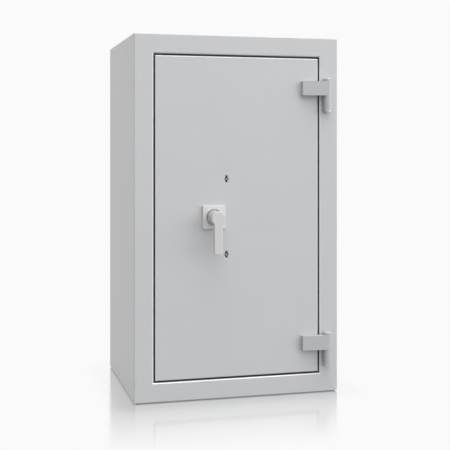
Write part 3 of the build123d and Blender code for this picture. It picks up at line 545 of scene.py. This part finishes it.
def off_the_safe(tree, place):
    """Distance along the floor from the safe's foot."""
    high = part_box("outer_casing")[1]
    middle = (0.0, 0.0, 0.0)
    past = past_sides(tree, place, middle, (high.x, high.y, 0.0))
    none = (0.0, 0.0, 0.0)
    outside = add_node(tree, "ShaderNodeVectorMath", {0: past, 1: none}, operation="MAXIMUM")
    return add_node(
        tree, "ShaderNodeVectorMath", {0: outside.outputs["Vector"]}, operation="LENGTH"
    ).outputs["Value"]


def mirror_share(tree, away, studio):
    """How much of the floor is mirror: most at the safe's foot, and for the camera alone."""
    steepness = 1.65
    nearness = add_node(
        tree,
        "ShaderNodeMapRange",
        {"Value": away, "From Max": studio.mirror_reach, "To Min": 1.0, "To Max": 0.0},
    )
    fading = add_node(
        tree, "ShaderNodeMath", {0: nearness.outputs["Result"], 1: steepness}, operation="POWER"
    )
    to_camera = add_node(tree, "ShaderNodeLightPath").outputs["Is Camera Ray"]
    polish = add_node(
        tree, "ShaderNodeMath", {0: to_camera, 1: studio.mirror_share}, operation="MULTIPLY"
    )
    return add_node(
        tree,
        "ShaderNodeMath",
        {0: fading.outputs["Value"], 1: polish.outputs["Value"]},
        operation="MULTIPLY",
    ).outputs["Value"]


def polished_floor(studio):
    """Pale polished floor: a little shade at the safe's foot and a soft, fading mirror image."""
    deepest_shade, satin_polish = 0.2, 0.13
    material, tree, place = start_material("polished_pale_floor")
    away = off_the_safe(tree, place)
    contact = add_node(
        tree,
        "ShaderNodeMapRange",
        {"Value": away, "From Max": studio.shade_reach, "To Min": deepest_shade, "To Max": 0.0},
        interpolation_type="SMOOTHSTEP",
    )
    upward = add_node(
        tree,
        "ShaderNodeMapRange",
        {"Value": seen(tree), "To Min": studio.floor_light, "To Max": 1.0},
    )
    glow = add_node(
        tree,
        "ShaderNodeEmission",
        {"Color": hex_colour(studio.background), "Strength": upward.outputs["Result"]},
    )
    shade = add_node(tree, "ShaderNodeBsdfDiffuse", {"Color": hex_colour("A8A8A8")})
    plain = add_node(
        tree,
        "ShaderNodeMixShader",
        {0: contact.outputs["Result"], 1: glow.outputs["Emission"], 2: shade.outputs["BSDF"]},
    )
    mirror = add_node(
        tree, "ShaderNodeBsdfGlossy", {"Color": hex_colour("FFFFFF"), "Roughness": satin_polish}
    )
    polished = add_node(
        tree,
        "ShaderNodeMixShader",
        {
            0: mirror_share(tree, away, studio),
            1: plain.outputs["Shader"],
            2: mirror.outputs["BSDF"],
        },
    )
    return end_material(material, polished.outputs["Shader"])


def dress(material, *names):
    """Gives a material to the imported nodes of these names."""
    for name in names:
        for material_slot in frame["nodes"][name].material_slots:
            material_slot.material = material


# Modelling helpers

# Turn that lays the upright axis of a new primitive from front to back
FRONT_TO_BACK = (math.pi / 2, 0, 0)


def only(piece):
    """Selects one piece and nothing else."""
    if bpy.context.object and bpy.context.object.mode != "OBJECT":
        bpy.ops.object.mode_set(mode="OBJECT")
    bpy.ops.object.select_all(action="DESELECT")
    piece.select_set(True)
    bpy.context.view_layer.objects.active = piece


def pick_faces(piece, wanted):
    """In edit mode, selects the faces whose centre passes a test and nothing else."""
    mesh = bmesh.from_edit_mesh(piece.data)
    # all faces go first, because one that is deselected takes its corners with it
    for face in mesh.faces:
        face.select_set(False)
    for face in mesh.faces:
        if wanted(face.calc_center_median()):
            face.select_set(True)
    bmesh.update_edit_mesh(piece.data)


def settle(piece):
    """Puts the piece's place into its mesh, so that its object stands at the origin."""
    only(piece)
    bpy.ops.object.transform_apply(location=True, rotation=True, scale=True)


def bevel_edges(piece, width):
    """Rounds the sharp edges of a finished piece and applies the modifier."""
    only(piece)
    bevel = piece.modifiers.new("edge", "BEVEL")
    bevel.width = width
    bevel.segments = 2
    bevel.limit_method = "ANGLE"
    bpy.ops.object.modifier_apply(modifier=bevel.name)


def repeat(piece, places):
    """Repeats a piece that stands at the first place at the others, and joins them into one."""
    made = [piece]
    for place in places[1:]:
        twin = piece.copy()
        twin.data = piece.data.copy()
        bpy.context.collection.objects.link(twin)
        twin.location = piece.location + Vector(place) - Vector(places[0])
        made.append(twin)
    only(piece)
    for twin in made:
        twin.select_set(True)
    bpy.ops.object.join()
    settle(piece)


def centres(name, reach):
    """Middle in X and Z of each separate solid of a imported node; none is as wide as the reach."""
    found = []
    for corner in frame["nodes"][name].data.vertices:
        point = Vector((corner.co.x, corner.co.z))
        for group in found:
            if (group[0] - point).length < reach:
                group.append(point)
                break
        else:
            found.append([point])
    middles = []
    for group in found:
        across = [point.x for point in group]
        up = [point.y for point in group]
        middles.append(((min(across) + max(across)) / 2, (min(up) + max(up)) / 2))
    return sorted(middles)


class MakeStep:
    """What all the steps of the making share."""

    bl_options = {"REGISTER", "UNDO"}


class SAFE_OT_cabinet(MakeStep, bpy.types.Operator):
    """Paints the cabinet, its base and its cast insulation"""

    bl_idname = "safe.cabinet"
    bl_label = "Cabinet"

    def execute(self, context):
        paint = context.scene.safe_paint
        dress(door_coat("powder_coated_cabinet", paint), "outer_casing", "back_panel")
        dress(powder_coat("dark_grey_base_coat", "85868A", paint.grain, DRY_COAT), "base_plate")
        filling = rough_mineral("cast_mineral_filling", "BDB7AA", grain=0.012, pore=0.006)
        dress(filling, "insulation_back", "insulation_bottom", "insulation_left")
        dress(filling, "insulation_right", "insulation_top", "door_filling")
        return {"FINISHED"}


class SAFE_OT_inside(MakeStep, bpy.types.Operator):
    """Paints the jamb, the liner and the shelves, and plates the rails"""

    bl_idname = "safe.inside"
    bl_label = "Inside"

    def execute(self, context):
        paint = context.scene.safe_paint
        coat = powder_coat("powder_coated_inside", paint.inside, paint.grain, INSIDE_COAT)
        dress(coat, "inner_liner", "door_jamb", "shelf_1", "shelf_2", "shelf_3")
        dress(zinc_plate("zinc_plated_rails"), "shelf_rails", "shelf_clips", "anchor_sleeves")
        return {"FINISHED"}


class SAFE_OT_door(MakeStep, bpy.types.Operator):
    """Paints the door's front, pan and cover"""

    bl_idname = "safe.door"
    bl_label = "Door"

    def execute(self, context):
        paint = context.scene.safe_paint
        dress(door_coat("powder_coated_door", paint), "door_front")
        back = powder_coat("powder_coated_door_back", paint.inside, paint.grain, INSIDE_COAT)
        dress(back, "door_pan", "door_cover")
        dress(zinc_plate("zinc_plated_inner_plate"), "boltwork_plate", "cover_posts")
        return {"FINISHED"}


class SAFE_OT_hinges(MakeStep, bpy.types.Operator):
    """Paints the hinges and lays a weld bead along each side of a knuckle's foot"""

    bl_idname = "safe.hinges"
    bl_label = "Hinges"

    def execute(self, context):
        paint = context.scene.safe_paint
        sizes = context.scene.safe_pieces
        # the thinner coat of the hinges has a peel half as wide
        coat = powder_coat("powder_coated_hinges", paint.hinges, paint.grain / 2, SMOOTH_COAT)
        dress(coat, "hinge_knuckle_lower", "hinge_knuckle_upper", "hinge_caps")
        dress(coat, "hinge_leaf_lower", "hinge_leaf_upper")
        dress(turned_metal("ground_steel_pin", GROUND_STEEL, "Z"), "hinge_pins")
        dress(turned_metal("turned_steel_washer", "B4B5B7", "Z"), "hinge_washers")
        for level in ("lower", "upper"):
            self.weld(level, coat, sizes)
        return {"FINISHED"}

    def weld(self, level, coat, sizes):
        """One ripple of weld, repeated down both sides of the foot."""
        low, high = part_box(f"hinge_knuckle_{level}")
        radius = sizes.bead_radius
        middle = (low.x + high.x) / 2
        # the ripples overlap by more than half, and the run stops short of the foot's ends
        pitch = 0.8 * radius
        first = low.z + 4 * radius
        last = high.z - 3 * radius
        count = int((last - first) / pitch)
        # a third of the bead's width is sunk into the foot
        flattened = (0.75, 0.7, 1.0)
        aside = sizes.foot_width / 2 + 0.3 * radius
        places = [
            (middle + side * aside, high.y, first + pitch * step)
            for side in (-1, 1)
            for step in range(count)
        ]
        bpy.ops.object.select_all(action="DESELECT")
        bpy.ops.mesh.primitive_uv_sphere_add(
            segments=12, ring_count=8, radius=radius, location=places[0]
        )
        bead = bpy.context.object
        bead.name = f"weld_bead_{level}"
        bpy.ops.object.mode_set(mode="EDIT")
        bpy.ops.mesh.select_all(action="SELECT")
        bpy.ops.transform.resize(value=flattened)
        # the half behind the frame's front is cut off
        bpy.ops.mesh.bisect(
            plane_co=places[0], plane_no=(0, 1, 0), use_fill=True, clear_outer=True
        )
        bpy.ops.object.mode_set(mode="OBJECT")
        repeat(bead, places)
        bead.data.materials.append(coat)
        bpy.ops.object.shade_smooth_by_angle(angle=math.radians(40))
        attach(bead, "cabinet")


class SAFE_OT_handle(MakeStep, bpy.types.Operator):
    """Finishes the lever, its square plate and what it turns on"""

    bl_idname = "safe.handle"
    bl_label = "Handle"

    def execute(self, context):
        paint = context.scene.safe_paint
        lever = lacquered_casting("silver_lacquered_lever", paint.lever, roughness=0.5)
        plate = lacquered_casting("silver_lacquered_rosette", paint.rosette, roughness=0.45)
        dress(lever, "lever")
        dress(plate, "handle_rosette")
        dress(turned_metal("ground_steel_spindle", GROUND_STEEL, "Y"), "spindle")
        dress(turned_metal("turned_brass_bush", BRASS, "Y"), "spindle_bush")
        dress(zinc_plate("zinc_plated_cam"), "scroll_cam")
        ring = turned_metal("blackened_steel_ring", BLACKENED_STEEL, "Y")
        dress(ring, "retaining_ring", "set_screw")
        return {"FINISHED"}


class SAFE_OT_boltwork(MakeStep, bpy.types.Operator):
    """Finishes the bolts, their bars and their guides"""

    bl_idname = "safe.boltwork"
    bl_label = "Boltwork"

    def execute(self, context):
        polished = 0.24
        across = turned_metal("ground_steel_side_bolts", BRIGHT_STEEL, "X", polished)
        upright = turned_metal("ground_steel_rods", BRIGHT_STEEL, "Z", polished)
        dress(across, "side_bolts", "hinge_dogs")
        dress(upright, "top_bolt", "bottom_bolt")
        dress(zinc_plate("zinc_plated_bars"), "bolt_bar", "top_arm", "bottom_arm", "bolt_guides")
        screws = turned_metal("blackened_steel_screws", BLACKENED_STEEL, "Y")
        dress(screws, "bar_screws", "top_arm_screws", "bottom_arm_screws", "lock_screws")
        return {"FINISHED"}


class SAFE_OT_locks(MakeStep, bpy.types.Operator):
    """Finishes the two key locks"""

    bl_idname = "safe.locks"
    bl_label = "Locks"

    def execute(self, context):
        dress(zinc_plate("zinc_plated_lock"), "lock_case_lower", "lock_case_upper", "lock_covers")
        barrels = turned_metal("drawn_brass_barrel", BRASS, "Y")
        dress(barrels, "key_barrel_lower", "key_barrel_upper")
        dress(turned_metal("drawn_brass_bolt", BRASS, "X"), "lock_bolt_lower", "lock_bolt_upper")
        dress(turned_metal("rolled_brass_tumblers", BRASS, "Z"), "tumblers")
        guides = lacquered_casting("nickel_plated_guides", "A4A5A6", roughness=0.4)
        pins = lacquered_casting("nickel_plated_pins", "F0F0EE", roughness=0.35)
        dress(guides, "key_guides")
        dress(pins, "key_pins")
        return {"FINISHED"}


class SAFE_OT_seals(MakeStep, bpy.types.Operator):
    """Models the ribbed fire seal that runs round the step of the jamb"""

    bl_idname = "safe.seals"
    bl_label = "Fire seal"

    def execute(self, context):
        low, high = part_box("fire_seals")
        rib = context.scene.safe_pieces.seal_rib
        # three ribs with a flat strip on either side of each: 12 mm in all
        strip, rib_width = 0.0015, 0.002
        bands = [strip, rib_width, strip, rib_width, strip, rib_width, strip]
        middle = (low + high) / 2
        bpy.ops.object.select_all(action="DESELECT")
        bpy.ops.mesh.primitive_plane_add(
            size=1, location=(middle.x, high.y, middle.z), rotation=FRONT_TO_BACK
        )
        seal = bpy.context.object
        seal.name = "ribbed_fire_seal"
        seal.scale = (high.x - low.x, high.z - low.z, 1)
        settle(seal)
        bpy.ops.object.mode_set(mode="EDIT")
        bpy.ops.mesh.select_all(action="SELECT")
        for band in bands:
            bpy.ops.mesh.inset(thickness=band, depth=0)
        bpy.ops.mesh.delete(type="FACE")
        bpy.ops.mesh.select_all(action="SELECT")
        body = high.y - low.y - rib
        bpy.ops.mesh.extrude_region_move(TRANSFORM_OT_translate={"value": (0, -body, 0)})
        edges = [sum(bands[:count]) for count in range(len(bands) + 1)]

        def on_rib(centre):
            inward = min(
                centre.x - low.x, high.x - centre.x, centre.z - low.z, high.z - centre.z
            )
            on_front = abs(centre.y - (high.y - body)) < rib / 4
            ribs = zip(edges[1:-1:2], edges[2:-1:2])
            return on_front and any(start < inward < end for start, end in ribs)

        pick_faces(seal, on_rib)
        bpy.ops.mesh.extrude_region_move(TRANSFORM_OT_translate={"value": (0, -rib, 0)})
        bpy.ops.mesh.select_all(action="SELECT")
        bpy.ops.mesh.normals_make_consistent(inside=False)
        bpy.ops.object.mode_set(mode="OBJECT")
        bevel_edges(seal, width=0.0003)
        fibre = rough_mineral("graphite_fire_seal", "353538", grain=0.004, pore=0.003)
        seal.data.materials.append(fibre)
        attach(seal, "cabinet")
        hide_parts("fire_seals")
        return {"FINISHED"}


class SAFE_OT_cover_screws(MakeStep, bpy.types.Operator):
    """Models the socket screws that hold the door's back cover"""

    bl_idname = "safe.cover_screws"
    bl_label = "Cover screws"

    def execute(self, context):
        cover_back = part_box("door_cover")[1].y
        low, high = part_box("cover_screws")
        places = [(x, cover_back, z) for x, z in centres("cover_screws", reach=0.02)]
        foot = Vector(places[0])
        height = high.y - cover_back
        bpy.ops.object.select_all(action="DESELECT")
        bpy.ops.mesh.primitive_cylinder_add(
            vertices=48,
            radius=places[0][0] - low.x,
            depth=height,
            location=foot + Vector((0, height / 2, 0)),
            rotation=FRONT_TO_BACK,
        )
        screw = bpy.context.object
        screw.name = "cover_screw_heads"
        settle(screw)
        self.socket(screw, foot + Vector((0, height, 0)), context.scene.safe_pieces)
        bevel_edges(screw, width=0.0004)
        repeat(screw, places)
        screw.data.materials.append(turned_metal("blackened_cover_screws", BLACKENED_STEEL, "Y"))
        bpy.ops.object.shade_smooth_by_angle(angle=math.radians(35))
        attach(screw, "door")
        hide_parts("cover_screws")
        return {"FINISHED"}

    def socket(self, screw, top, sizes):
        """Cuts the hex socket into the top of a screw's head."""
        bpy.ops.mesh.primitive_cylinder_add(
            vertices=6,
            radius=sizes.screw_socket / 2,
            depth=2 * sizes.socket_depth,
            location=top,
            rotation=FRONT_TO_BACK,
        )
        key = bpy.context.object
        settle(key)
        only(screw)
        cut = screw.modifiers.new("socket", "BOOLEAN")
        cut.operation = "DIFFERENCE"
        cut.solver = "EXACT"
        cut.object = key
        bpy.ops.object.modifier_apply(modifier=cut.name)
        bpy.data.objects.remove(key)


class SAFE_OT_stage(MakeStep, bpy.types.Operator):
    """Sets the floor, the lamps, the room's light and the camera"""

    bl_idname = "safe.stage"
    bl_label = "Studio"

    def execute(self, context):
        studio = context.scene.safe_studio
        floor = self.floor(studio)
        self.room(context.scene, studio)
        # for each far lamp: the direction to it, its width in the sky in degrees, its strength
        self.far_lamp("key_lamp", (0.26, -0.58, 0.77), 90, studio.key_strength, glints=False)
        self.far_lamp("rim_lamp", (0.82, -0.55, 0.15), 45, studio.rim_strength)
        self.far_lamp(
            "side_lamp", (-0.72, 0.68, 0.12), 30, studio.side_strength, "FFFDF9", glints=False
        )
        self.far_lamp("ceiling_lamp", (0.06, -0.12, 0.99), 32, studio.ceiling_strength)
        self.softbox(place=(0.5, -1.5, 2.6), size=(2.0, 1.2), power=studio.softbox_power)
        self.spare_floor(floor)
        self.camera(context.scene, studio)
        context.scene.view_settings.view_transform = "Standard"
        return {"FINISHED"}

    def floor(self, studio):
        """Large level floor under the safe."""
        bpy.ops.object.select_all(action="DESELECT")
        bpy.ops.mesh.primitive_plane_add(size=40)
        floor = bpy.context.object
        floor.name = "studio_floor"
        floor.data.materials.append(polished_floor(studio))
        return floor

    def room(self, scene, studio):
        """Even light all round, and the plain background that the camera sees."""
        world = bpy.data.worlds.new("pale_room")
        world.use_nodes = True
        tree = world.node_tree
        tree.nodes.clear()
        light = add_node(
            tree,
            "ShaderNodeBackground",
            {"Color": hex_colour("FFFFFF"), "Strength": studio.room_light},
        )
        backdrop = add_node(
            tree, "ShaderNodeBackground", {"Color": hex_colour(studio.background), "Strength": 1.0}
        )
        mixed = add_node(
            tree,
            "ShaderNodeMixShader",
            {0: seen(tree), 1: light.outputs["Background"], 2: backdrop.outputs["Background"]},
        )
        add_node(tree, "ShaderNodeOutputWorld", {"Surface": mixed.outputs["Shader"]})
        scene.world = world

    def far_lamp(self, name, towards, width, strength, colour="FFFFFF", glints=True):
        """Lamp so far away that its light is even; without glints, shiny metal doesn't show it."""
        bpy.ops.object.light_add(type="SUN", location=5 * Vector(towards))
        lamp = bpy.context.object
        lamp.name = name
        lamp.rotation_euler = (-Vector(towards)).to_track_quat("-Z", "Y").to_euler()
        lamp.data.energy = strength
        lamp.data.angle = math.radians(width)
        lamp.data.color = hex_colour(colour)[:3]
        lamp.visible_glossy = glints

    def softbox(self, place, size, power):
        """Large soft rectangle that faces the middle of the safe."""
        bpy.ops.object.light_add(type="AREA", location=place)
        lamp = bpy.context.object
        lamp.name = "softbox"
        middle = Vector((0, 0, cad_box[1][2] / 2))
        lamp.rotation_euler = (middle - Vector(place)).to_track_quat("-Z", "Y").to_euler()
        lamp.data.shape = "RECTANGLE"
        lamp.data.size, lamp.data.size_y = size
        lamp.data.energy = power

    def spare_floor(self, floor):
        """Keeps the lamps off the floor, which would show them as bright discs."""
        spared = bpy.data.collections.new("unlit_floor")
        spared.objects.link(floor)
        spared.collection_objects[0].light_linking.link_state = "EXCLUDE"
        for lamp in bpy.data.objects:
            if lamp.type == "LIGHT":
                lamp.light_linking.receiver_collection = spared

    def camera(self, scene, studio):
        """Level camera, turned to the right, with its horizon set by the lens shift."""
        bpy.ops.object.camera_add(
            location=studio.camera_place, rotation=(math.pi / 2, 0, -studio.camera_turn)
        )
        camera = bpy.context.object
        camera.data.sensor_width = SENSOR_MM
        camera.data.lens = studio.focal_pixels * SENSOR_MM / IMAGE_PIXELS
        camera.data.shift_y = (studio.horizon_row - IMAGE_PIXELS / 2) / IMAGE_PIXELS
        scene.camera = camera


STEPS = (
    SAFE_OT_cabinet,
    SAFE_OT_inside,
    SAFE_OT_door,
    SAFE_OT_hinges,
    SAFE_OT_handle,
    SAFE_OT_boltwork,
    SAFE_OT_locks,
    SAFE_OT_seals,
    SAFE_OT_cover_screws,
    SAFE_OT_stage,
)


class SAFE_PT_panel(bpy.types.Panel):
    """Lists the steps of the making and their settings."""

    bl_idname = "SAFE_PT_panel"
    bl_label = "Safe"
    bl_space_type = "VIEW_3D"
    bl_region_type = "UI"
    bl_category = "Safe"

    def draw(self, context):
        scene = context.scene
        for group in (scene.safe_paint, scene.safe_pieces, scene.safe_studio):
            for name in group.__annotations__:
                self.layout.prop(group, name)
        for step in STEPS:
            self.layout.operator(step.bl_idname)


CLASSES = (SafePaint, SafePieces, SafeStudio, *STEPS, SAFE_PT_panel)


def register():
    for kind in CLASSES:
        bpy.utils.register_class(kind)
    bpy.types.Scene.safe_paint = bpy.props.PointerProperty(type=SafePaint)
    bpy.types.Scene.safe_pieces = bpy.props.PointerProperty(type=SafePieces)
    bpy.types.Scene.safe_studio = bpy.props.PointerProperty(type=SafeStudio)


def unregister():
    del bpy.types.Scene.safe_studio
    del bpy.types.Scene.safe_pieces
    del bpy.types.Scene.safe_paint
    for kind in reversed(CLASSES):
        bpy.utils.unregister_class(kind)


def main():
    register()
    bpy.ops.safe.cabinet()
    bpy.ops.safe.inside()
    bpy.ops.safe.door()
    bpy.ops.safe.hinges()
    bpy.ops.safe.handle()
    bpy.ops.safe.boltwork()
    bpy.ops.safe.locks()
    bpy.ops.safe.seals()
    bpy.ops.safe.cover_screws()
    bpy.ops.safe.stage()


if __name__ == "__main__":
    main()
